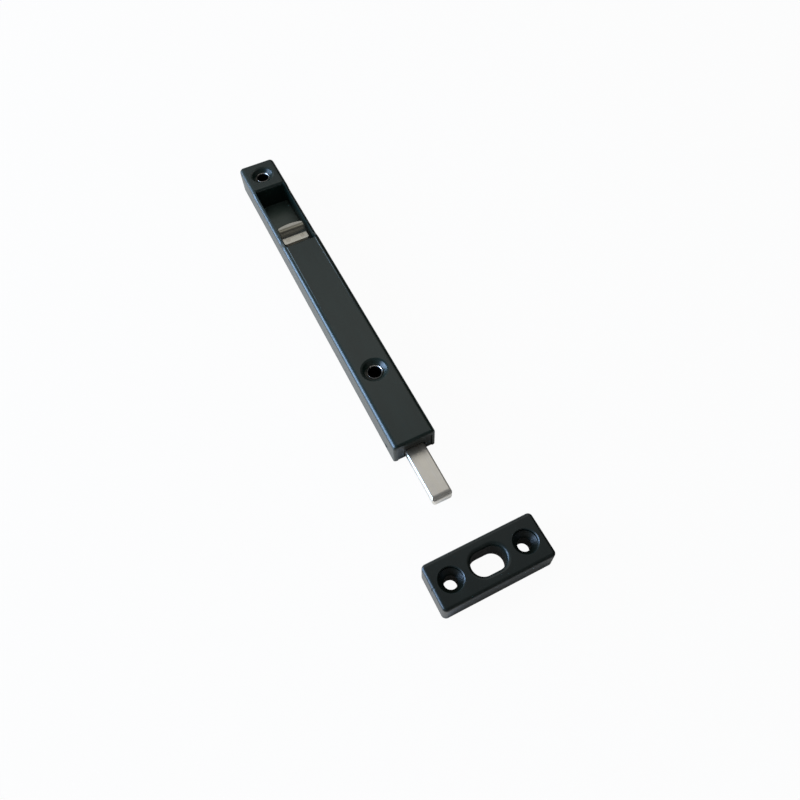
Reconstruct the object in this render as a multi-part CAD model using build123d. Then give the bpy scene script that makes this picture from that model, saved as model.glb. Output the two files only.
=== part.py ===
from build123d import *
import os
from math import acos, degrees, radians, sqrt, tan

# Surface slide bolt for a door, with its keeper, in millimetres.
# The back lies on Z = 0. The origin is midway between the two housing screws.
# Y runs along the bolt, from the mouth where the tongue comes out to the finger end.

# Screw layout of the housing
SCREW_SPACING = 117.0
MOUTH_TO_SCREW = 32.0
SCREW_TO_END = 9.0
COUNTERSINK_DIA = 9.6
COUNTERSINK_BREAK = 0.4

# Hollow rivets that the screws pass through
SLEEVE_BORE = 4.5
SLEEVE_WALL = 0.45
SLEEVE_FLARE = 0.4
SLEEVE_FIT = 0.03

# Housing moulding
HOUSING_WIDTH = 16.0
HOUSING_HEIGHT = 11.0
SIDE_WALL = 1.4
ROOF = 2.1
END_WALL = 2.0
BLOCK_LENGTH = 18.0
RECESS_LENGTH = 36.7
RECESS_CORNER_R = 0.8
RAIL_DROP = 0.8
RAIL_BLEND_R = 6.0
TOP_EDGE_R = 1.9
FAR_EDGE_R = 1.6
MOUTH_EDGE_R = 1.0
MOUTH_FOOT = 1.2
BLOCK_LIP_R = 1.4
COVER_LIP_R = 0.6
BOSS_DIA = 8.8
RIB_THICK = 1.2
GUIDE_RIB_SETBACK = 4.0

# Back plate
PLATE_THICK = 1.0
PLATE_FIT = 0.1

# Steel bar
BAR_THICK = 3.5
BAR_WIDTH = 10.6
BAR_LIFT = 0.4
BAR_SIDE_GAP = 0.3
TONGUE_WIDTH = 7.5
TONGUE_THROW = 20.5
TONGUE_EDGE_R = 0.7
TIP_CORNER_R = 1.2
TIP_NOSE_R = 2.0
TRAVEL = 20.5
SLOT_GAP = 0.35
STOP_GAP = 0.3

# Nose guide, snapped into the mouth of the housing
GUIDE_LENGTH = 9.0
GUIDE_STOP = 4.5
GUIDE_SETBACK = 0.4
NIB_FROM_MOUTH = 6.0
NIB_LENGTH = 1.3
NIB_Z = 1.5
NIB_HEIGHT = 1.0
NIB_SINK = 0.4
NIB_GAP = 0.15

# Finger slide, bent from sheet
SHEET = 1.2
SLIDE_WIDTH = 10.8
SLIDE_FROM_COVER = 5.9
FOOT_LENGTH = 3.7
LIP_RISE = 2.5
LIP_ANGLE = 57.0
LIP_TOP = 3.2
LIP_CROWN = 1.0
LIP_CURL = 0.2
BEND_R = 0.9
LIP_CORNER_R = 0.7
RIVET_DIA = 2.2
RIVET_HEAD_DIA = 3.6
RIVET_HEAD = 0.7
RIVET_SPACING = 6.4
RIVET_FROM_EDGE = 1.9

# Friction spring
SPRING_LENGTH = 34.0
SPRING_FOOT = 4.0
SPRING_CREST = 8.0
SPRING_WIDTH = 6.0
SPRING_THICK = 0.4
SPRING_BEND_R = 5.0
SPRING_FROM_SCREW = 38.0
SPRING_GAP = 0.1
SPRING_END_GAP = 0.2
SPRING_STOP = 1.5

# Keeper
KEEPER_LENGTH = 39.6
KEEPER_WIDTH = 16.0
KEEPER_HEIGHT = 8.8
KEEPER_CORNER_R = 1.6
KEEPER_EDGE_R = 1.2
KEEPER_HOLE_LENGTH = 11.8
KEEPER_HOLE_WIDTH = 8.0
KEEPER_HOLE_LIP_R = 1.3
KEEPER_SCREW_SPACING = 26.4
KEEPER_BORE = 4.5
KEEPER_COUNTERSINK_DIA = 8.0
KEEPER_WELL = 1.6
KEEPER_BREAK = 0.3
KEEPER_FROM_MOUTH = 46.5
KEEPER_ASIDE = 1.7
GATE_WIDTH = 0.5
GATE_DEPTH = 0.2
GATE_HEIGHT = 2.6

# Places that follow from the sizes
y_low = -SCREW_SPACING / 2
y_high = SCREW_SPACING / 2
y_mouth = y_low - MOUTH_TO_SCREW
y_end = y_high + SCREW_TO_END
y_block = y_end - BLOCK_LENGTH
y_cover = y_block - RECESS_LENGTH
inner_x = HOUSING_WIDTH / 2 - SIDE_WALL
roof_z = HOUSING_HEIGHT - ROOF
sleeve_r = SLEEVE_BORE / 2 + SLEEVE_WALL
cone_foot_z = HOUSING_HEIGHT - (COUNTERSINK_DIA / 2 - sleeve_r)
bar_z = PLATE_THICK + BAR_LIFT
bar_top = bar_z + BAR_THICK
bar_side = BAR_WIDTH / 2 + BAR_SIDE_GAP
y_slide = y_cover + SLIDE_FROM_COVER
y_rivets = y_slide + RIVET_FROM_EDGE
lip_run = LIP_RISE / tan(radians(LIP_ANGLE))
y_bar_end = y_slide + FOOT_LENGTH + lip_run
y_guide = y_mouth + GUIDE_LENGTH
y_nib = y_mouth + NIB_FROM_MOUTH
y_shoulder = y_mouth + GUIDE_STOP + STOP_GAP
y_spring = y_low + SPRING_FROM_SCREW
y_keeper = y_mouth - KEEPER_FROM_MOUTH
OVER = 1.0


def slab(x0, x1, y0, y1, z0, z1):
    """A block between two corners."""
    block = Box(x1 - x0, y1 - y0, z1 - z0)
    return Pos((x0 + x1) / 2, (y0 + y1) / 2, (z0 + z1) / 2) * block


def post(x, y, radius, z0, z1):
    """An upright cylinder."""
    return Pos(x, y, (z0 + z1) / 2) * Cylinder(radius, z1 - z0)


def cone(x, y, r0, z0, r1, z1):
    """An upright cone between two heights."""
    return Pos(x, y, (z0 + z1) / 2) * Cone(r0, r1, z1 - z0)


def countersunk_hole(x, y, bore_r, mouth_r, cone_top_z):
    """A through hole with a 90 degree countersink, whose wide end lies at the given height."""
    depth = mouth_r - bore_r
    hole = post(x, y, bore_r, -OVER, cone_top_z)
    return hole + cone(x, y, bore_r, cone_top_z - depth, mouth_r, cone_top_z)


def mouth_edges(solid, mouth_r, top_z):
    """The round edges of countersinks on the top face."""
    rims = solid.edges().filter_by(GeomType.CIRCLE)
    return [e for e in rims if abs(e.radius - mouth_r) < 0.01 and abs(e.center().Z - top_z) < 0.01]


def outer_form():
    """The housing's outside: its side view drawn across the width, with the rails let down by an S curve."""
    turn = degrees(acos(1 - RAIL_DROP / (2 * RAIL_BLEND_R)))
    rail_z = HOUSING_HEIGHT - RAIL_DROP
    top = HOUSING_HEIGHT
    with BuildSketch(Plane.YZ) as side:
        with BuildLine():
            Polyline((y_mouth, top), (y_mouth, 0), (y_end, 0), (y_end, top), (y_block, top))
            fall = JernArc((y_block, top), (-1, 0), RAIL_BLEND_R, turn)
            level = JernArc(fall @ 1, fall % 1, RAIL_BLEND_R, -turn)
            run = y_block - (level @ 1).X
            rail = Line(level @ 1, (y_cover + run, rail_z))
            climb = JernArc(rail @ 1, (-1, 0), RAIL_BLEND_R, -turn)
            JernArc(climb @ 1, climb % 1, RAIL_BLEND_R, turn)
            Line((y_cover, top), (y_mouth, top))
        make_face()
    body = extrude(side.sketch, HOUSING_WIDTH / 2, both=True)
    long_edges = []
    for edge in body.edges():
        box = edge.bounding_box()
        if box.min.Z > rail_z - 0.01 and box.size.Y > box.size.X:
            long_edges.append(edge)
    body = fillet(long_edges, TOP_EDGE_R)
    for end, radius in ((0, MOUTH_EDGE_R), (-1, FAR_EDGE_R)):
        rim = body.faces().sort_by(Axis.Y)[end].edges()
        body = fillet([e for e in rim if e.center().Z > 0.01], radius)
    return body


def lip_cutter(y_edge, way, radius):
    """Rounds a lip of the recess between the rails. The material lies on the side given by way."""
    z_axis = HOUSING_HEIGHT - radius
    y_axis = y_edge + way * radius
    y0 = min(y_edge, y_axis)
    block = slab(-inner_x, inner_x, y0, y0 + radius, z_axis, HOUSING_HEIGHT + OVER)
    rod = Pos(0, y_axis, z_axis) * Rot(0, 90, 0) * Cylinder(radius, HOUSING_WIDTH)
    return block - rod


def mouth_foot():
    """The chamfer along the bottom of the mouth, across the walls and the guide."""
    wedge = Polyline((y_mouth - OVER, -OVER), (y_mouth + MOUTH_FOOT + OVER, -OVER),
                     (y_mouth - OVER, MOUTH_FOOT + OVER), close=True)
    return extrude(Plane.YZ * make_face(wedge), HOUSING_WIDTH, both=True)


def housing():
    body = outer_form()
    recess = slab(-inner_x, inner_x, y_cover, y_block, -OVER, HOUSING_HEIGHT + OVER)
    recess = fillet(recess.edges().filter_by(Axis.Z), RECESS_CORNER_R)
    body -= slab(-inner_x, inner_x, y_mouth - OVER, y_block - RECESS_LENGTH / 2, -OVER, roof_z)
    body -= recess
    body -= slab(-inner_x, inner_x, y_block + END_WALL, y_end - END_WALL, -OVER, roof_z)
    body -= slab(-inner_x, inner_x, y_cover, y_end - END_WALL, -OVER, PLATE_THICK)
    body -= lip_cutter(y_block, 1, BLOCK_LIP_R)
    body -= lip_cutter(y_cover, -1, COVER_LIP_R)

    # Bosses under both screws, with a rib across the end block
    body += post(0, y_low, BOSS_DIA / 2, bar_top + BAR_LIFT, roof_z)
    body += post(0, y_high, BOSS_DIA / 2, PLATE_THICK, roof_z)
    body += slab(-inner_x, inner_x, y_high - RIB_THICK / 2, y_high + RIB_THICK / 2, PLATE_THICK, roof_z)

    # Ribs along both walls keep the bar in line, and the back plate seats against them
    rib_width = inner_x - bar_side
    for x in (-inner_x, bar_side):
        body += slab(x, x + rib_width, y_guide + PLATE_FIT, y_cover - GUIDE_RIB_SETBACK, PLATE_THICK, bar_top)

    # Cross ribs on the roof hold the spring lengthwise
    reach = SPRING_LENGTH / 2 + SPRING_END_GAP + RIB_THICK / 2
    for y in (y_spring - reach, y_spring + reach):
        body += slab(-SPRING_WIDTH / 2, SPRING_WIDTH / 2, y - RIB_THICK / 2, y + RIB_THICK / 2,
                     roof_z - SPRING_STOP, roof_z)

    # Screw holes and the windows that the nose guide snaps into
    for y in (y_low, y_high):
        body -= countersunk_hole(0, y, sleeve_r + SLEEVE_FIT, COUNTERSINK_DIA / 2, HOUSING_HEIGHT)
    body -= slab(-HOUSING_WIDTH, HOUSING_WIDTH, y_nib - NIB_GAP, y_nib + NIB_LENGTH + NIB_GAP,
                 NIB_Z - NIB_GAP, NIB_Z + NIB_HEIGHT + NIB_GAP)

    body = chamfer(mouth_edges(body, COUNTERSINK_DIA / 2, HOUSING_HEIGHT), COUNTERSINK_BREAK)
    return body - mouth_foot()


def back_plate():
    half = inner_x - PLATE_FIT
    plate = slab(-half, half, y_guide + PLATE_FIT, y_end - END_WALL - PLATE_FIT, 0, PLATE_THICK)
    hole_r = sleeve_r + SLEEVE_FIT
    for y in (y_low, y_high):
        plate -= post(0, y, hole_r, -OVER, PLATE_THICK + OVER)
        plate -= cone(0, y, hole_r + SLEEVE_FLARE + OVER, -OVER, hole_r, SLEEVE_FLARE)
    return plate


def end_guide():
    """The shoe in the mouth. The tongue runs between its sides, and the bar's shoulders stop in it."""
    half = inner_x - PLATE_FIT
    block = slab(-half, half, y_mouth + GUIDE_SETBACK, y_guide, 0, roof_z - PLATE_FIT)
    slot = TONGUE_WIDTH / 2 + BAR_SIDE_GAP
    floor_z = bar_z - STOP_GAP
    block -= slab(-slot, slot, y_mouth, y_guide, floor_z, HOUSING_HEIGHT)
    block -= slab(-bar_side, bar_side, y_mouth + GUIDE_STOP, y_guide + OVER, floor_z, HOUSING_HEIGHT)
    block -= mouth_foot()

    # Snap nibs: square towards the mouth, sloped on the side that goes in first
    out_x = HOUSING_WIDTH / 2 - NIB_SINK
    ramp = Polyline((half, y_nib), (out_x, y_nib), (out_x, y_nib + NIB_LENGTH / 3),
                    (half, y_nib + NIB_LENGTH), close=True)
    nib = Pos(0, 0, NIB_Z) * extrude(make_face(ramp), NIB_HEIGHT)
    return block + nib + mirror(nib, about=Plane.YZ)


def tongue():
    """The narrow end of the bar, where three outlines meet: its section, its plan and its nosed side view."""
    half = TONGUE_WIDTH / 2
    y_tip = y_mouth - TONGUE_THROW
    y_root = y_shoulder + BAR_THICK
    across = Plane((0, y_tip - OVER, bar_z + BAR_THICK / 2), x_dir=(1, 0, 0), z_dir=(0, 1, 0))
    strip = extrude(across * RectangleRounded(TONGUE_WIDTH, BAR_THICK, TONGUE_EDGE_R), y_root - y_tip + OVER)
    plan = slab(-half, half, y_tip, y_root + OVER, bar_z - OVER, bar_top + OVER)
    plan = fillet(plan.edges().filter_by(Axis.Z).group_by(Axis.Y)[0], TIP_CORNER_R)
    side = slab(-half - OVER, half + OVER, y_tip, y_root + OVER, bar_z, bar_top)
    tip = side.edges().filter_by(Axis.X).group_by(Axis.Y)[0].sort_by(Axis.Z)
    side = side.fillet(TONGUE_EDGE_R, [tip[0]]).fillet(TIP_NOSE_R, [tip[-1]])
    return strip & plan & side


def bolt_bar():
    bar = slab(-BAR_WIDTH / 2, BAR_WIDTH / 2, y_shoulder, y_bar_end, bar_z, bar_top)
    bar += tongue()

    # Slot around the lower sleeve, long enough for the travel
    slot_r = sleeve_r + SLOT_GAP
    slot = Pos(0, y_low - TRAVEL / 2, bar_z - OVER) * Rot(0, 0, 90) * SlotCenterToCenter(TRAVEL, 2 * slot_r)
    bar -= extrude(slot, BAR_THICK + 2 * OVER)
    for x in (-RIVET_SPACING / 2, RIVET_SPACING / 2):
        bar -= rivet(x)
    return bar


def rivet(x):
    """A rivet with its countersunk head in the underside of the bar, closed flush with the slide's foot."""
    shank = post(x, y_rivets, RIVET_DIA / 2, bar_z, bar_top + SHEET)
    return shank + cone(x, y_rivets, RIVET_HEAD_DIA / 2, bar_z, RIVET_DIA / 2, bar_z + RIVET_HEAD)


def slide_rivets():
    return Compound(children=[rivet(-RIVET_SPACING / 2), rivet(RIVET_SPACING / 2)])


def finger_slide():
    z_foot = bar_top + SHEET / 2
    y_bend = y_slide + FOOT_LENGTH
    z_lip = z_foot + LIP_RISE
    y_lip = y_bend + lip_run
    with BuildSketch(Plane.YZ) as side:
        with BuildLine() as path:
            FilletPolyline((y_slide, z_foot), (y_bend, z_foot), (y_lip, z_lip),
                           (y_lip + LIP_TOP, z_lip - LIP_CURL), radius=BEND_R)
        trace(path.line, SHEET)
    half = SLIDE_WIDTH / 2
    y_tip = y_lip + LIP_TOP
    with BuildSketch(Plane.XY.offset(bar_top)) as plan:
        with BuildLine():
            Polyline((half, y_tip - LIP_CROWN), (half, y_slide), (-half, y_slide), (-half, y_tip - LIP_CROWN))
            ThreePointArc((-half, y_tip - LIP_CROWN), (0, y_tip), (half, y_tip - LIP_CROWN))
        make_face()
        fillet(plan.vertices(), LIP_CORNER_R)
    slide = extrude(side.sketch, SLIDE_WIDTH, both=True) & extrude(plan.sketch, z_lip + SHEET - bar_top)
    for x in (-RIVET_SPACING / 2, RIVET_SPACING / 2):
        slide -= rivet(x)
    return slide


def friction_spring():
    """A hat-shaped leaf: both feet lie on the roof, and the crest rides on the bar."""
    z_feet = roof_z - SPRING_THICK / 2
    z_crest = bar_top + SPRING_GAP + SPRING_THICK / 2
    half = SPRING_LENGTH / 2
    knee = half - SPRING_FOOT
    with BuildSketch(Plane.YZ) as side:
        with BuildLine() as path:
            FilletPolyline((y_spring - half, z_feet), (y_spring - knee, z_feet),
                           (y_spring - SPRING_CREST / 2, z_crest), (y_spring + SPRING_CREST / 2, z_crest),
                           (y_spring + knee, z_feet), (y_spring + half, z_feet), radius=SPRING_BEND_R)
        trace(path.line, SPRING_THICK)
    return extrude(side.sketch, SPRING_WIDTH / 2, both=True)


def sleeve(y):
    """A hollow rivet, turned over at 45 degrees into the countersink and into the back plate."""
    bore_r = SLEEVE_BORE / 2
    flare = SLEEVE_FLARE
    step = SLEEVE_WALL * (sqrt(2) - 1)
    edge = SLEEVE_WALL / sqrt(2)
    foot = cone_foot_z + SLEEVE_FIT
    outline = Polyline((bore_r + flare - step, 0), (sleeve_r + flare, 0), (sleeve_r, flare), (sleeve_r, foot),
                       (sleeve_r + flare, foot + flare), (sleeve_r + flare - edge, foot + flare + edge),
                       (bore_r, foot + step), (bore_r, flare - step), close=True)
    section = Plane.XZ * make_face(outline)
    return Pos(0, y, 0) * revolve(section, Axis.Z)


def gate_mark():
    """The scar of the moulding gate: a fine groove of even depth over the rounded edge of one end."""
    x_end = -KEEPER_LENGTH / 2
    x_axis = x_end + KEEPER_EDGE_R
    z_axis = KEEPER_HEIGHT - KEEPER_EDGE_R
    half = GATE_WIDTH / 2
    groove = slab(x_end - OVER, x_axis, -half, half, KEEPER_HEIGHT - GATE_HEIGHT, KEEPER_HEIGHT + OVER)
    groove -= slab(x_end + GATE_DEPTH, x_axis, -half, half, KEEPER_HEIGHT - GATE_HEIGHT, z_axis)
    rod = Pos(x_axis, 0, z_axis) * Rot(90, 0, 0) * Cylinder(KEEPER_EDGE_R - GATE_DEPTH, KEEPER_WIDTH)
    return groove - rod


def keeper():
    """The strike: a solid moulded block, with a gate mark on one end."""
    block = slab(-KEEPER_LENGTH / 2, KEEPER_LENGTH / 2, -KEEPER_WIDTH / 2, KEEPER_WIDTH / 2, 0, KEEPER_HEIGHT)
    block = fillet(block.edges().filter_by(Axis.Z), KEEPER_CORNER_R)
    block = fillet(block.faces().sort_by(Axis.Z)[-1].edges(), KEEPER_EDGE_R)
    hole = SlotOverall(KEEPER_HOLE_LENGTH, KEEPER_HOLE_WIDTH)
    block -= Pos(0, 0, -OVER) * extrude(hole, KEEPER_HEIGHT + 2 * OVER)
    top = block.faces().sort_by(Axis.Z)[-1]
    block = fillet(top.inner_wires()[0].edges(), KEEPER_HOLE_LIP_R)
    mouth_r = KEEPER_COUNTERSINK_DIA / 2
    well_z = KEEPER_HEIGHT - KEEPER_WELL
    for x in (-KEEPER_SCREW_SPACING / 2, KEEPER_SCREW_SPACING / 2):
        block -= countersunk_hole(x, 0, KEEPER_BORE / 2, mouth_r, well_z)
        block -= post(x, 0, mouth_r, well_z, KEEPER_HEIGHT + OVER)
    block = chamfer(mouth_edges(block, mouth_r, KEEPER_HEIGHT), KEEPER_BREAK)
    return Pos(KEEPER_ASIDE, y_keeper, 0) * (block - gate_mark())


PIECES = {
    "housing": housing(),
    "back_plate": back_plate(),
    "end_guide": end_guide(),
    "bolt_bar": bolt_bar(),
    "finger_slide": finger_slide(),
    "slide_rivets": slide_rivets(),
    "friction_spring": friction_spring(),
    "upper_sleeve": sleeve(y_high),
    "lower_sleeve": sleeve(y_low),
    "keeper": keeper(),
}

os.makedirs("parts", exist_ok=True)
for name, piece in PIECES.items():
    export_step(piece, f"parts/{name}.step")
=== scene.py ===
import math

import bmesh
import bpy
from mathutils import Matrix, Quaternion, Vector


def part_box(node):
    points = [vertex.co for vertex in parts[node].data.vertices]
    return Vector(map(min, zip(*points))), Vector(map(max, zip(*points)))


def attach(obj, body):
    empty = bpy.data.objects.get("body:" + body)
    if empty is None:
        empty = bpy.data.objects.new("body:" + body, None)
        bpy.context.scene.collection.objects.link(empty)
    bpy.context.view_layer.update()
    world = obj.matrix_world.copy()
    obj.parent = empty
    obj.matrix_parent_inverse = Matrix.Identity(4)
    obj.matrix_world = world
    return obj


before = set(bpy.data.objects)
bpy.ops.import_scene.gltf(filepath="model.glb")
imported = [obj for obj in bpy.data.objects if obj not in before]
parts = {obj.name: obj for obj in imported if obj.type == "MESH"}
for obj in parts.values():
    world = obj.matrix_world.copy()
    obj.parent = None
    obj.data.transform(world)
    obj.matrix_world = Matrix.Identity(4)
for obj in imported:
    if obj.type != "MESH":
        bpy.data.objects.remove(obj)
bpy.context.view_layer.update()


# Housing: the long black cover, with the screw holes and the finger recess.
# It is one moulding in glass-filled nylon, from a spark-eroded mould that leaves a fine satin grain.
# Two hollow rivets through it hold the back plate, so nothing else shows on top.

PER_MM = 1000.0
PORE_MM = 0.15
PORE_DEPTH_MM = 0.002
STREAK_MM = 5.0
STREAK_RUN_MM = 22.0
RUBBED_EDGE_MM = 0.5
RUBBED_PATCH_MM = 1.5


def colour(code):
    """A hex colour as it looks on a screen, turned to the linear values that shaders take."""
    shares = [int(code[i:i + 2], 16) / 255 for i in (1, 3, 5)]
    return [s / 12.92 if s <= 0.04045 else ((s + 0.055) / 1.055) ** 2.4 for s in shares] + [1.0]


def add(tree, kind, inputs, **settings):
    """Adds a shader node. Each input is a plain value, or the output of another node to link to."""
    node = tree.nodes.new("ShaderNode" + kind)
    for name, value in settings.items():
        setattr(node, name, value)
    for name, value in inputs.items():
        if isinstance(value, bpy.types.NodeSocket):
            tree.links.new(value, node.inputs[name])
        else:
            node.inputs[name].default_value = value
    return node


def new_material(name):
    """An empty material, with the place on the piece that its patterns are laid out by."""
    material = bpy.data.materials.new(name)
    material.use_nodes = True
    material.node_tree.nodes.clear()
    place = add(material.node_tree, "TexCoord", {}).outputs["Object"]
    return material, material.node_tree, place


def two_tone(tree, share, low, shade, high, tint):
    """A colour that goes from one hex colour to another between two levels of a pattern."""
    ramp = add(tree, "ValToRGB", {"Fac": share})
    for stop, level, code in ((0, low, shade), (1, high, tint)):
        ramp.color_ramp.elements[stop].position = level
        ramp.color_ramp.elements[stop].color = colour(code)
    return ramp.outputs["Color"]


def worn_edges(tree, place, reach_mm, patch_mm):
    """How far outer corners are rubbed, in patches. Seen from inside, a corner has its far side near."""
    inwards = add(tree, "AmbientOcclusion", {"Distance": reach_mm / PER_MM}, samples=6, inside=True,
                  only_local=True)
    corner = add(tree, "MapRange", {"Value": inwards.outputs["AO"], "From Min": 0.95, "From Max": 0.5})
    patches = add(tree, "TexNoise", {"Vector": place, "Scale": PER_MM / patch_mm, "Detail": 3.0})
    wear = add(tree, "Math", {0: corner.outputs["Result"], 1: patches.outputs["Fac"]}, operation="MULTIPLY")
    return wear.outputs[0]


def close(tree, shader):
    """Ends a material with its finished shader."""
    add(tree, "OutputMaterial", {"Surface": shader.outputs[0]})


def dress(names, material):
    """Gives CAD pieces their material."""
    for name in names:
        parts[name].material_slots[0].material = material


def moulded_nylon(name, shade, bloom, rubbed, dull, bright):
    """Moulded black nylon: satin from fine pores, faintly streaked by the melt, and paler at rubbed corners.
    Real pores are nearer 0.05 mm, and are drawn coarser so that they show."""
    material, tree, place = new_material(name)
    pores = add(tree, "TexNoise", {"Vector": place, "Scale": PER_MM / PORE_MM, "Detail": 2.0})
    across = PER_MM / STREAK_MM
    along = add(tree, "Mapping", {"Vector": place, "Scale": (across, PER_MM / STREAK_RUN_MM, across)})
    flow = add(tree, "TexNoise", {"Vector": along.outputs["Vector"], "Scale": 1.0, "Detail": 3.0,
                                  "Roughness": 0.6})
    skin = two_tone(tree, flow.outputs["Fac"], 0.3, shade, 0.75, bloom)
    wear = worn_edges(tree, place, RUBBED_EDGE_MM, RUBBED_PATCH_MM)
    tint = add(tree, "Mix", {0: wear, 6: skin, 7: colour(rubbed)}, data_type="RGBA")
    gloss = add(tree, "MapRange", {"Value": pores.outputs["Fac"], "From Min": 0.3, "From Max": 0.7,
                                   "To Min": bright, "To Max": dull})
    grain = add(tree, "Bump", {"Height": pores.outputs["Fac"], "Strength": 0.05,
                               "Distance": PORE_DEPTH_MM / PER_MM})
    close(tree, add(tree, "BsdfPrincipled", {
        "Base Color": tint.outputs[2], "Roughness": gloss.outputs["Result"],
        "Normal": grain.outputs["Normal"], "IOR": 1.5}))
    return material


# Satin nylon: black with a green cast, and soft bands of light along the rounded edges
dress(["housing"], moulded_nylon("satin_black_nylon", "#13241e", "#192c26", "#3c4845",
                                 dull=0.36, bright=0.31))


# Witness lines: two fine ridges on the cover, where the core that shapes the recess met the mould.
# They are part of the moulding. They start at the recess, and die out along the cover.

WITNESS_X = 0.0062
WITNESS_START = 0.0122
WITNESS_LENGTH = 0.045
WITNESS_WIDTH = 0.0005
WITNESS_RISE = 0.00005
WITNESS_ROOT = 0.0003
WITNESS_ROUND = 0.0002
HIGHLIGHT_BREAKUP_MM = 1.2

cover_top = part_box("housing")[1][2]
witness_end = WITNESS_START - WITNESS_LENGTH
witness_middle = WITNESS_START - WITNESS_LENGTH / 2
ridges = bmesh.new()
for side in (-1, 1):
    ridge = bmesh.ops.create_cube(ridges, size=1.0)["verts"]
    bmesh.ops.scale(ridges, verts=ridge, vec=(WITNESS_WIDTH, WITNESS_LENGTH, WITNESS_ROOT))
    bmesh.ops.translate(ridges, verts=ridge, vec=(side * WITNESS_X, witness_middle,
                                                  cover_top + WITNESS_RISE - WITNESS_ROOT / 2))
    faded = [v for v in ridge if v.co.y < witness_middle]
    bmesh.ops.translate(ridges, verts=faded, vec=(0, 0, -WITNESS_RISE))
crests = [e for e in ridges.edges if all(v.co.z > cover_top - WITNESS_RISE for v in e.verts)
          and abs(e.verts[0].co.y - e.verts[1].co.y) > WITNESS_LENGTH / 2]
bmesh.ops.bevel(ridges, geom=crests, offset=WITNESS_ROUND, offset_type="OFFSET", affect="EDGES", segments=3,
                profile=0.5, material=-1, clamp_overlap=True)
bmesh.ops.recalc_face_normals(ridges, faces=ridges.faces)
witness_lines = bpy.data.objects.new("witness_lines", bpy.data.meshes.new("witness_lines"))
ridges.to_mesh(witness_lines.data)
ridges.free()
bpy.context.scene.collection.objects.link(witness_lines)
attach(witness_lines, "housing_body")

# Painted highlight: a pale dull grey on the ridges for the light they catch, most at the recess, fading along
ridge_highlight_nylon, tree, place = new_material("ridge_painted_highlight")
along = add(tree, "SeparateXYZ", {"Vector": place}).outputs["Y"]
fade = add(tree, "MapRange", {"Value": along, "From Min": witness_end, "From Max": WITNESS_START})
highlight_breakup = add(tree, "TexNoise", {"Vector": place, "Scale": PER_MM / HIGHLIGHT_BREAKUP_MM, "Detail": 3.0})
patchy = add(tree, "MapRange", {"Value": highlight_breakup.outputs["Fac"], "To Min": 0.6, "To Max": 1.0})
painted_highlight = add(tree, "Math", {0: fade.outputs["Result"], 1: patchy.outputs["Result"]}, operation="MULTIPLY")
# The pale end of this ramp is the painted highlight; noise breaks it up along the ridge.
tint = two_tone(tree, painted_highlight.outputs[0], 0.0, "#1a2924", 0.8, "#838c87")
close(tree, add(tree, "BsdfPrincipled", {"Base Color": tint, "Roughness": 0.75, "IOR": 1.5}))
witness_lines.data.materials.append(ridge_highlight_nylon)


# End guide: the black moulded shoe in the mouth, which the tongue runs through.
# It is pushed in from the end, and two nibs snap into windows in the housing's side walls.

# Guide nylon: a little darker and duller than the cover's
guide_nylon = moulded_nylon("guide_black_nylon", "#101a17", "#17231f", "#343d3b", dull=0.4, bright=0.34)
dress(["end_guide"], guide_nylon)


# Guide bridge: a thin web of the same moulding and nylon, between the guide's two sides.
# It closes the mouth over the tongue, clears it by a quarter of a millimetre, and keeps dirt off the bar.

BRIDGE_HALF = 0.0041
BRIDGE_FOOT = 0.00515
BRIDGE_THICK = 0.0012
BRIDGE_SINK = 0.00005
BRIDGE_EDGE_R = 0.0003

guide_low, guide_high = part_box("end_guide")
web = bmesh.new()
bmesh.ops.create_cube(web, size=1.0)
bmesh.ops.scale(web, verts=web.verts, vec=(2 * BRIDGE_HALF, BRIDGE_THICK, guide_high[2] - BRIDGE_FOOT))
bmesh.ops.translate(web, verts=web.verts, vec=(0, guide_low[1] + BRIDGE_SINK + BRIDGE_THICK / 2,
                                               (guide_high[2] + BRIDGE_FOOT) / 2))
foot = [e for e in web.edges if all(v.co.z < BRIDGE_FOOT + BRIDGE_EDGE_R for v in e.verts)
        and abs(e.verts[0].co.x - e.verts[1].co.x) > BRIDGE_HALF]
bmesh.ops.bevel(web, geom=foot, offset=BRIDGE_EDGE_R, offset_type="OFFSET", affect="EDGES", segments=4,
                profile=0.5, material=-1, clamp_overlap=True)
guide_bridge = bpy.data.objects.new("guide_bridge", bpy.data.meshes.new("guide_bridge"))
web.to_mesh(guide_bridge.data)
web.free()
bpy.context.scene.collection.objects.link(guide_bridge)
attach(guide_bridge, "housing_body")
guide_bridge.data.materials.append(guide_nylon)


# Bolt bar: flat cold-drawn steel, with the tongue cut narrower at one end and its edges rounded.
# It is left bare, and finished on a belt along its length.

LINE_DEPTH_MM = 0.01
STAIN_MM = 5.0
BRIGHT_EDGE_MM = 0.25
BRIGHT_PATCH_MM = 2.0
SHADE_BLUR_MM = 0.3


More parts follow.
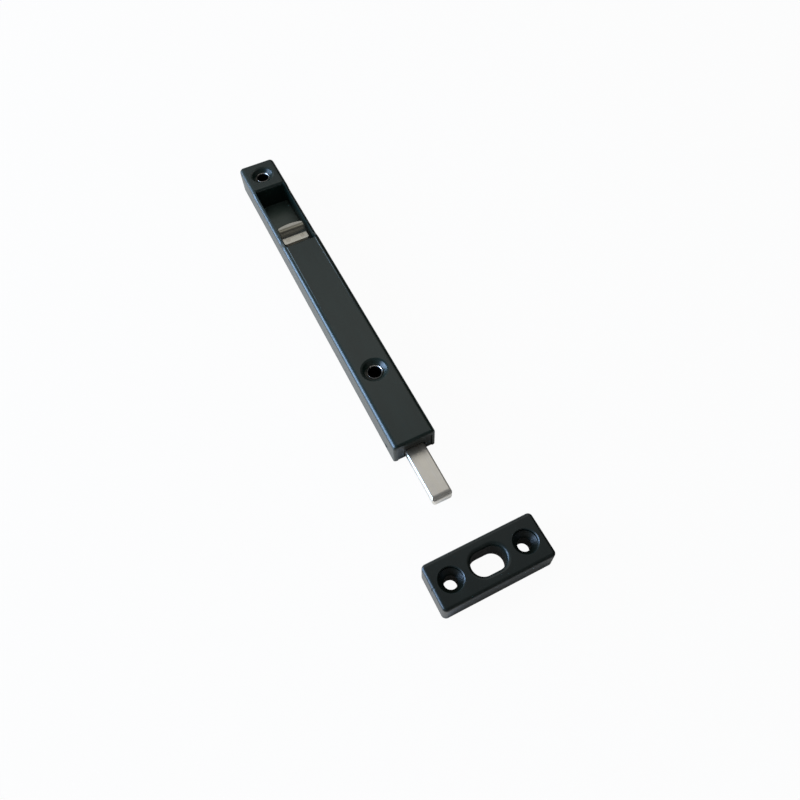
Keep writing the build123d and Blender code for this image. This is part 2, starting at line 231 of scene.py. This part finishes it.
def belted_steel(name, shade, shine, line_mm, run_mm, dull, bright, shaded_stretch=None):
    """Bare steel finished on a belt: fine lines along the length spread the highlights. Corners are bright.
    Real lines are nearer 0.05 mm, and are drawn coarser so that they show.
    A stretch drawn darker as painted shade, if there is one, is given by where along the piece it starts and
    ends."""
    material, tree, place = new_material(name)
    across = PER_MM / line_mm
    along = add(tree, "Mapping", {"Vector": place, "Scale": (across, PER_MM / run_mm, across)})
    lines = add(tree, "TexNoise", {"Vector": along.outputs["Vector"], "Scale": 1.0, "Detail": 3.0,
                                   "Roughness": 0.65})
    stain = add(tree, "TexNoise", {"Vector": place, "Scale": PER_MM / STAIN_MM, "Detail": 3.0})
    wear = worn_edges(tree, place, BRIGHT_EDGE_MM, BRIGHT_PATCH_MM)
    grain = add(tree, "Math", {0: lines.outputs["Fac"], 1: 0.6, 2: wear}, operation="MULTIPLY_ADD")
    bare = add(tree, "Math", {0: stain.outputs["Fac"], 1: 0.4, 2: grain.outputs[0]},
               operation="MULTIPLY_ADD")
    gloss = add(tree, "MapRange", {"Value": lines.outputs["Fac"], "From Min": 0.3, "From Max": 0.7,
                                   "To Min": bright, "To Max": dull})
    scratch = add(tree, "Bump", {"Height": lines.outputs["Fac"], "Strength": 0.2,
                                 "Distance": LINE_DEPTH_MM / PER_MM})
    tint = two_tone(tree, bare.outputs[0], 0.3, shade, 0.75, shine)
    # Painted shade: a stretch of the piece is drawn darker, for the shade that falls on it.
    if shaded_stretch:
        length = add(tree, "SeparateXYZ", {"Vector": place}).outputs["Y"]
        blur = SHADE_BLUR_MM / PER_MM
        start, end = [add(tree, "MapRange", {"Value": length, "From Min": at - side * blur,
                                             "From Max": at + side * blur}).outputs["Result"]
                      for at, side in zip(shaded_stretch, (1, -1))]
        painted_shade = add(tree, "Math", {0: start, 1: end}, operation="MINIMUM").outputs[0]
        tint = add(tree, "Mix", {0: painted_shade, 6: tint, 7: colour("#8a887c")}, data_type="RGBA").outputs[2]
    close(tree, add(tree, "BsdfPrincipled", {
        "Base Color": tint, "Metallic": 1.0, "Roughness": gloss.outputs["Result"],
        "Normal": scratch.outputs["Normal"]}))
    return material


# Belted bar steel: pale and warm, with long fine lines
dress(["bolt_bar"], belted_steel("belted_bar_steel", "#e3ded1", "#f7f3eb", line_mm=0.25, run_mm=9.0,
                                 dull=0.48, bright=0.36))


# Finger slide: a strip of steel sheet, bent up into a lip for the fingertip.
# Two flush rivets hold its foot on the end of the bar.
# The slope below the lip is drawn darker as painted shade, and the end of the lip is left unshaded.

UNSHADED_LIP = 0.0018
SHADED_SLOPE = 0.003

lip_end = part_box("finger_slide")[1][1]
slope = (lip_end - UNSHADED_LIP - SHADED_SLOPE, lip_end - UNSHADED_LIP)

# Belted slide steel: greyer and shinier than the bar, with short lines. The rivets are rubbed dull.
dress(["finger_slide"], belted_steel("belted_slide_steel", "#c7c6bd", "#d3d2c9", line_mm=0.3, run_mm=4.0,
                                     dull=0.38, bright=0.3, shaded_stretch=slope))
dress(["slide_rivets"], belted_steel("rubbed_rivet_steel", "#bdb9ae", "#cac7bd", line_mm=0.3, run_mm=4.0,
                                     dull=0.45, bright=0.3))


# Friction spring: a bowed leaf of spring steel between the roof of the housing and the bar.
# It drags on the bar and keeps it where it is left. It is sealed in, and stays as rolled.

# Rolled spring steel: blue-grey, with long lines from the rolls
dress(["friction_spring"], belted_steel("rolled_spring_steel", "#8f9296", "#a3a6a8", line_mm=0.4,
                                        run_mm=12.0, dull=0.4, bright=0.3))


# Back plate: a steel strip that closes the back, and is the floor of the finger recess.
# Its black paint is drawn a dark grey-green: painted light, for the recess floor deep in shade.
# The hollow rivets are closed over its back.

PEEL_MM = 0.7
PEEL_DEPTH_MM = 0.02
CHALK_MM = 6.0
SHEARED_EDGE_MM = 0.3
SHEARED_PATCH_MM = 1.0

# Stoved paint: a satin film with soft orange peel, a little uneven, rubbed to grey at the sheared edges
stoved_paint, tree, place = new_material("stoved_paint_lightened")
peel = add(tree, "TexNoise", {"Vector": place, "Scale": PER_MM / PEEL_MM, "Detail": 2.0})
chalk = add(tree, "TexNoise", {"Vector": place, "Scale": PER_MM / CHALK_MM, "Detail": 4.0, "Roughness": 0.6})
# Painted light: both film colours are lighter than the black paint, so the shaded recess floor reads lighter.
film = two_tone(tree, chalk.outputs["Fac"], 0.3, "#4c5d56", 0.75, "#586962")
wear = worn_edges(tree, place, SHEARED_EDGE_MM, SHEARED_PATCH_MM)
tint = add(tree, "Mix", {0: wear, 6: film, 7: colour("#6b6f6e")}, data_type="RGBA")
gloss = add(tree, "MapRange", {"Value": chalk.outputs["Fac"], "To Min": 0.28, "To Max": 0.4})
skin = add(tree, "Bump", {"Height": peel.outputs["Fac"], "Strength": 0.2, "Distance": PEEL_DEPTH_MM / PER_MM})
close(tree, add(tree, "BsdfPrincipled", {
    "Base Color": tint.outputs[2], "Roughness": gloss.outputs["Result"], "Normal": skin.outputs["Normal"],
    "IOR": 1.5}))
dress(["back_plate"], stoved_paint)


# Hollow rivets: drawn steel tubes, one through each screw hole. Their dark bore is painted shade for the deep
# hole.
# The punch that turns them over into the countersink and the back plate rubs both ends bright.

LIP_RIM_MM = 9.45
FLARE_TOP_MM = 0.4
RUB_MM = 0.15
CLOUD_MM = 1.2

# Punched tube: a dark, dull bore drawn as painted shade for the deep hole, and a bright ring at both ends
# where the punch rubbed it
shaded_punched_tube, tree, place = new_material("punched_steel_painted_shade")
cloud = add(tree, "TexNoise", {"Vector": place, "Scale": PER_MM / CLOUD_MM, "Detail": 4.0, "Roughness": 0.6})
height = add(tree, "SeparateXYZ", {"Vector": place}).outputs["Z"]
lip = add(tree, "MapRange", {"Value": height, "From Min": (LIP_RIM_MM - RUB_MM) / PER_MM,
                             "From Max": (LIP_RIM_MM + RUB_MM) / PER_MM})
flare = add(tree, "MapRange", {"Value": height, "From Min": (FLARE_TOP_MM + RUB_MM) / PER_MM,
                               "From Max": (FLARE_TOP_MM - RUB_MM) / PER_MM})
ends = add(tree, "Math", {0: lip.outputs["Result"], 1: flare.outputs["Result"]}, operation="MAXIMUM")
worn = add(tree, "Math", {0: ends.outputs[0], 1: 0.7, 2: cloud.outputs["Fac"]}, operation="MULTIPLY_ADD")
gloss = add(tree, "MapRange", {"Value": worn.outputs[0], "From Min": 0.6, "From Max": 1.0,
                               "To Min": 0.55, "To Max": 0.3})
tint = two_tone(tree, worn.outputs[0], 0.7, "#1b1c1d", 0.95, "#e0ddd6")
close(tree, add(tree, "BsdfPrincipled", {"Base Color": tint, "Metallic": 1.0,
                                         "Roughness": gloss.outputs["Result"]}))
dress(["upper_sleeve", "lower_sleeve"], shaded_punched_tube)


# Keeper: the strike that the tongue shoots into, one solid moulding in the same black nylon.
# It lies loose beside the bolt, as it comes from the box. Two screws fix it to the frame.

# Keeper nylon: the cover's nylon, drawn a shade darker as painted shade for the dim room its top mirrors, and
# a little duller
dress(["keeper"], moulded_nylon("keeper_nylon_painted_shade", "#131d19", "#19241f", "#3c4643",
                                dull=0.38, bright=0.33))


# Table: a round white sweep that curves up at its rim, so that every view has the same white behind it.
# It glows for what the camera and the gloss see, but less to the gloss where the object shades it.
# The gloss also sees it polished, and so sees the windows in it.

TABLE_RADIUS = 3.0
TABLE_RIM = 1.3
TABLE_BEND = 0.78
TABLE_DROP = 0.0001
TABLE_GLOW = 0.96
CONTACT = 0.03
LIT_FROM = (-0.75, 0.6, 0.28)

sweep = bmesh.new()
bmesh.ops.create_circle(sweep, cap_ends=True, segments=64, radius=TABLE_RADIUS)
rim = list(sweep.edges)
raised = bmesh.ops.extrude_edge_only(sweep, edges=rim)["geom"]
lifted = [v for v in raised if isinstance(v, bmesh.types.BMVert)]
bmesh.ops.translate(sweep, verts=lifted, vec=(0, 0, TABLE_RIM))
bmesh.ops.bevel(sweep, geom=rim, offset=TABLE_BEND, offset_type="OFFSET", affect="EDGES", segments=8,
                profile=0.5, material=-1, clamp_overlap=True)
bmesh.ops.translate(sweep, verts=sweep.verts, vec=(0, 0, -TABLE_DROP))
table = bpy.data.objects.new("table", bpy.data.meshes.new("table"))
sweep.to_mesh(table.data)
sweep.free()
bpy.context.scene.collection.objects.link(table)

# White board: plain and even, and a little polished
white, tree, _ = new_material("white_board_sweep")
path = add(tree, "LightPath", {})
lit_side = add(tree, "CombineXYZ", dict(zip("XYZ", LIT_FROM))).outputs["Vector"]
open_sky = add(tree, "AmbientOcclusion", {"Distance": CONTACT, "Normal": lit_side}, samples=8)
shade = add(tree, "MapRange", {"Value": open_sky.outputs["AO"], "From Min": 0.6, "From Max": 0.95})
gloss = add(tree, "Math", {0: path.outputs["Is Glossy Ray"], 1: shade.outputs["Result"]},
            operation="MULTIPLY")
seen = add(tree, "Math", {0: path.outputs["Is Camera Ray"], 1: gloss.outputs[0]}, operation="MAXIMUM")
seen = add(tree, "Math", {0: seen.outputs[0], 1: path.outputs["Is Transmission Ray"]}, operation="MAXIMUM")
share = add(tree, "Math", {0: seen.outputs[0], 1: TABLE_GLOW}, operation="MULTIPLY")
paper = add(tree, "BsdfDiffuse", {"Color": colour("#f4f3f0")})
glow = add(tree, "Emission", {"Color": (1.0, 1.0, 1.0, 1.0), "Strength": 1.0})
board = add(tree, "MixShader", {0: share.outputs[0], 1: paper.outputs[0], 2: glow.outputs[0]})
facing = add(tree, "Fresnel", {"IOR": 2.0})
glance = add(tree, "Math", {0: facing.outputs[0], 1: path.outputs["Is Glossy Ray"]}, operation="MULTIPLY")
polish = add(tree, "BsdfGlossy", {"Color": (1.0, 1.0, 1.0, 1.0), "Roughness": 0.04})
close(tree, add(tree, "MixShader", {0: glance.outputs[0], 1: board.outputs[0], 2: polish.outputs[0]}))
table.data.materials.append(white)


# Light: an even room that is dimmer on the near side, with a soft box beyond the far end.
# Two cool windows stand on the left. Black cards stand on the right and round the table.
# Only the gloss sees the cards, and they draw the dark edges.

ROOM_FAR = 0.3
ROOM_NEAR = 0.07
MIDDLE = (0.0, -0.04, 0.0)

world = bpy.data.worlds.new("studio")
bpy.context.scene.world = world
world.use_nodes = True
world.node_tree.nodes.clear()
tree = world.node_tree
toward = add(tree, "SeparateXYZ", {"Vector": add(tree, "TexCoord", {}).outputs["Generated"]}).outputs["Y"]
level = add(tree, "MapRange", {"Value": toward, "From Min": -1.0, "From Max": 1.0,
                               "To Min": ROOM_NEAR, "To Max": ROOM_FAR})
seen = add(tree, "LightPath", {}).outputs["Is Camera Ray"]
level = add(tree, "Math", {0: level.outputs["Result"], 1: seen}, operation="MAXIMUM")
room = add(tree, "Background", {"Color": (1.0, 1.0, 1.0, 1.0), "Strength": level.outputs[0]})
add(tree, "OutputWorld", {"Surface": room.outputs[0]})


def lamp(name, place, aim, size, tint, power):
    """A soft box of the given width and height, turned to face a point."""
    light = bpy.data.lights.new(name, "AREA")
    light.shape = "RECTANGLE"
    light.size, light.size_y = size
    light.energy = power
    light.color = colour(tint)[:3]
    box = bpy.data.objects.new(name, light)
    box.location = place
    box.rotation_euler = (Vector(aim) - Vector(place)).to_track_quat("-Z", "Y").to_euler()
    box.visible_camera = False
    bpy.context.scene.collection.objects.link(box)


lamp("soft_box", (0.2, 0.6, 1.0), MIDDLE, size=(1.1, 0.6), tint="#fffcf6", power=1.55)
lamp("window", (-0.88, 0.45, 0.15), MIDDLE, size=(0.75, 0.24), tint="#a5ceff", power=11.0)
lamp("side_window", (-0.9, 0.13, 0.4), MIDDLE, size=(0.55, 0.36), tint="#b0d2ff", power=6.5)

CARD_LIFT = 0.001
CARD_FOOT_X = 0.03
CARD_TOP_X = 0.6
CARD_TOP_Z = 0.45
CARD_NEAR_Y = -0.4
CARD_FAR_Y = 0.9
SKIRT_RADIUS = 0.45
SKIRT_HEIGHT = 0.13
SKIRT_START = math.radians(195.0)
SKIRT_SWEEP = math.radians(260.0)

cards = bmesh.new()
leaning = [cards.verts.new(corner) for corner in (
    (CARD_FOOT_X, CARD_NEAR_Y, CARD_LIFT), (CARD_TOP_X, CARD_NEAR_Y, CARD_TOP_Z),
    (CARD_TOP_X, CARD_FAR_Y, CARD_TOP_Z), (CARD_FOOT_X, CARD_FAR_Y, CARD_LIFT))]
cards.faces.new(leaning)
skirt_x = SKIRT_RADIUS * math.cos(SKIRT_START)
skirt_y = SKIRT_RADIUS * math.sin(SKIRT_START)
skirt = [cards.verts.new((skirt_x, skirt_y, z)) for z in (CARD_LIFT, SKIRT_HEIGHT)]
edge = cards.edges.new(skirt)
bmesh.ops.spin(cards, geom=skirt + [edge], axis=(0, 0, 1), cent=(0, 0, 0), angle=SKIRT_SWEEP, steps=36)
black_cards = bpy.data.objects.new("black_cards", bpy.data.meshes.new("black_cards"))
cards.to_mesh(black_cards.data)
cards.free()
black_cards.visible_camera = False
black_cards.visible_diffuse = False
black_cards.visible_shadow = False
bpy.context.scene.collection.objects.link(black_cards)
black, tree, _ = new_material("black_card")
close(tree, add(tree, "BsdfDiffuse", {"Color": colour("#0c0c0c")}))
black_cards.data.materials.append(black)


# Camera: it stands over the keeper end of the bolt, and looks along it.
# Its place, aim, roll and lens were worked out from the outline and the screw holes in the photograph.

CAMERA_PLACE = (-0.04567, -0.18407, 0.20922)
CAMERA_AIM = (0.00509, -0.06814, 0.0)
CAMERA_ROLL = math.radians(-3.21)
LENS_MM = 29.84

camera = bpy.data.objects.new("camera", bpy.data.cameras.new("camera"))
camera.data.lens = LENS_MM
camera.data.clip_start = 0.01
camera.location = CAMERA_PLACE
look = (Vector(CAMERA_AIM) - Vector(CAMERA_PLACE)).to_track_quat("-Z", "Y")
camera.rotation_euler = (look @ Quaternion((0, 0, 1), CAMERA_ROLL)).to_euler()
bpy.context.scene.collection.objects.link(camera)
bpy.context.scene.camera = camera
bpy.context.scene.view_settings.view_transform = "Standard"
